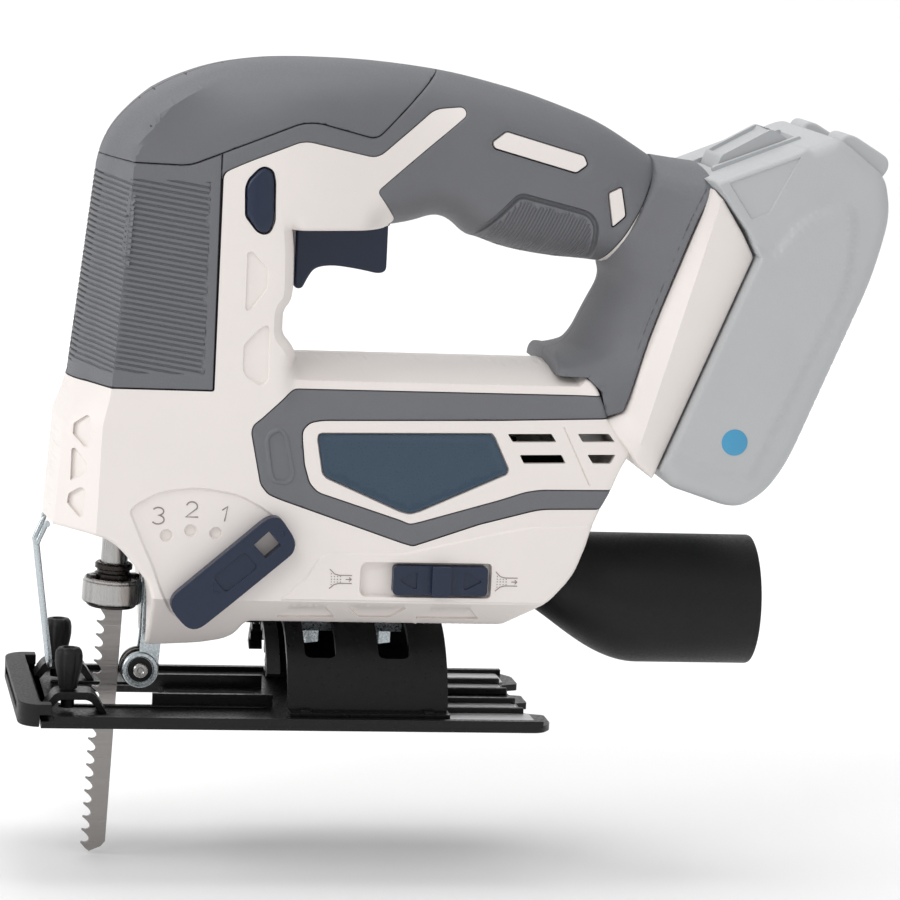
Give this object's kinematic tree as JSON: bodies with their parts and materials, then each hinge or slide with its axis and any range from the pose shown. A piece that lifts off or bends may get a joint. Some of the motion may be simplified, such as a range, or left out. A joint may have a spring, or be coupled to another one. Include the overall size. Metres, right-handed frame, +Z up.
{
  "type": "cordless jigsaw",
  "caption": "Cordless D-handle jigsaw: clamshell body with grip covers, tilting sole, stroking blade, pendulum lever, dust nozzle and slide-on battery pack.",
  "frame": {"origin": "on the underside of the sole plate, mid width and mid length", "axes": "+Z up out of the work, -X towards the blade end, +X towards the battery, -Y to the tool's left"},
  "size_m": [0.2524, 0.076, 0.2413],
  "materials": {
    "white_plastic": "fine satin moulding",
    "grey_rubber": "matt overmoulded grip rubber",
    "slate_badge": "satin label plate",
    "navy_plastic": "satin moulding",
    "black_plastic": "satin moulding",
    "battery_grey": "fine matt moulding",
    "black_steel": "black coating",
    "zinc_steel": "bright zinc plating",
    "bright_steel": "ground",
    "blade_steel": "brushed, dull",
    "bronze": "sintered",
    "cell_pack": "sleeved cells in a holder",
    "board_green": "solder mask",
    "clear_lens": "clear"
  },
  "bodies": {
    "sole": {"sole_plate": "black_steel", "front_bumper": "black_plastic", "guide_bridge_left": "black_steel", "guide_bridge_right": "black_steel", "bevel_bracket": "black_steel", "bevel_sector": "black_steel"},
    "housing": {"housing_left": "white_plastic", "housing_right": "white_plastic", "front_cover": "grey_rubber", "top_cap": "grey_rubber", "handle_grip_left": "grey_rubber", "handle_grip_right": "grey_rubber", "collar_grip_left": "grey_rubber", "collar_grip_right": "grey_rubber", "waist_band_left": "grey_rubber", "waist_band_right": "grey_rubber", "badge_left": "slate_badge", "badge_right": "slate_badge", "battery_foot": "white_plastic", "terminal_block": "black_plastic", "switch_module": "black_plastic", "trigger_spring": "bright_steel", "motor_can": "zinc_steel", "gear_axle": "bright_steel", "bearing_plate": "zinc_steel", "motor_bearing": "bright_steel", "lower_bush": "bronze", "upper_bush": "bronze", "led_lens": "clear_lens", "circuit_board": "board_green", "clamp_plate": "zinc_steel", "sole_screw_front": "zinc_steel", "sole_screw_rear": "zinc_steel", "housing_screw_rear": "zinc_steel", "housing_screw_handle": "zinc_steel"},
    "plunger": {"plunger_rod": "bright_steel", "plunger_yoke": "bright_steel", "blade_clamp_body": "black_plastic", "blade": "blade_steel"},
    "clamp_ring": {"clamp_ring": "bright_steel"},
    "armature": {"motor_armature": "bright_steel", "cooling_fan": "black_plastic"},
    "gear": {"drive_gear": "bright_steel"},
    "trigger": {"trigger": "navy_plastic"},
    "lock_button": {"lock_off_button": "navy_plastic"},
    "lever": {"pendulum_lever": "navy_plastic", "pendulum_cam": "bright_steel"},
    "blower": {"blower_slider": "navy_plastic", "blower_gate": "black_plastic"},
    "fork": {"roller_fork": "zinc_steel", "roller_pin": "bright_steel"},
    "roller": {"guide_roller": "bright_steel"},
    "wire_guard": {"wire_guard": "zinc_steel"},
    "knob_left": {"guide_knob_left": "black_plastic"},
    "knob_right": {"guide_knob_right": "black_plastic"},
    "nozzle": {"dust_nozzle": "black_plastic"},
    "battery": {"battery_case": "battery_grey", "battery_rail": "black_plastic", "battery_cells": "cell_pack"},
    "latch": {"battery_latch_button": "battery_grey"}
  },
  "joints": [
    {"name": "bevel_tilt", "type": "hinge", "parent": "sole", "child": "housing", "pos_m": [0, 0, 0.001], "axis": [1, 0, 0], "range_deg": [-45, 45]},
    {"name": "plunger_stroke", "type": "slide", "parent": "housing", "child": "plunger", "axis": [0.0384, 0, 0.9993], "range_m": [-0.01, 0.01]},
    {"name": "clamp_ring_twist", "type": "hinge", "parent": "plunger", "child": "clamp_ring", "pos_m": [-0.05, 0, 0.03], "axis": [0.0384, 0, 0.9993], "range_deg": [0, 40], "stiffness_Nm_per_rad": 0.05},
    {"name": "gear_spin", "type": "hinge", "parent": "housing", "child": "gear", "pos_m": [-0.033, 0, 0.0965], "axis": [1, 0, 0], "continuous": true},
    {"name": "motor_spin", "type": "hinge", "parent": "housing", "child": "armature", "pos_m": [0.03, 0, 0.069], "axis": [1, 0, 0], "continuous": true},
    {"name": "trigger_pull", "type": "slide", "parent": "housing", "child": "trigger", "axis": [0, 0, 1], "range_m": [0, 0.006], "stiffness_N_per_m": 900, "springref_m": -0.004, "deforming": ["trigger_spring"]},
    {"name": "lock_off_press", "type": "slide", "parent": "housing", "child": "lock_button", "axis": [0, 1, 0], "range_m": [0, 0.005], "stiffness_N_per_m": 500, "springref_m": -0.001},
    {"name": "pendulum_turn", "type": "hinge", "parent": "housing", "child": "lever", "pos_m": [-0.0294, -0.031, 0.0358], "axis": [0, -1, 0], "range_deg": [0, 68]},
    {"name": "blower_shift", "type": "slide", "parent": "housing", "child": "blower", "axis": [-1, 0, 0], "range_m": [0, 0.0088]},
    {"name": "fork_swing", "type": "hinge", "parent": "housing", "child": "fork", "pos_m": [-0.038, 0, 0.05], "axis": [0, -1, 0], "range_deg": [0, 3.2]},
    {"name": "roller_spin", "type": "hinge", "parent": "fork", "child": "roller", "pos_m": [-0.041, 0, 0.0107], "axis": [0, 1, 0], "continuous": true},
    {"name": "wire_guard_swing", "type": "hinge", "parent": "housing", "child": "wire_guard", "pos_m": [-0.0703, 0, 0.055], "axis": [0, 1, 0], "range_deg": [0, 60]},
    {"name": "guide_knob_left_turn", "type": "hinge", "parent": "sole", "child": "knob_left", "pos_m": [-0.0638, -0.022, 0.0086], "axis": [0, 0, 1], "continuous": true},
    {"name": "guide_knob_right_turn", "type": "hinge", "parent": "sole", "child": "knob_right", "pos_m": [-0.0638, 0.022, 0.0086], "axis": [0, 0, 1], "continuous": true},
    {"name": "nozzle_pull", "type": "slide", "parent": "housing", "child": "nozzle", "axis": [1, 0, 0], "range_m": [0, 0.04]},
    {"name": "battery_lift", "type": "slide", "parent": "housing", "child": "battery", "axis": [0.373, 0, 0.9278], "range_m": [0, 0.09]},
    {"name": "latch_press", "type": "slide", "parent": "battery", "child": "latch", "axis": [-0.373, 0, -0.9278], "range_m": [0, 0.003], "stiffness_N_per_m": 600, "springref_m": -0.001}
  ],
  "couplings": [
    {"joint": "motor_spin", "follows": "gear_spin", "ratio": -4.5}
  ]
}
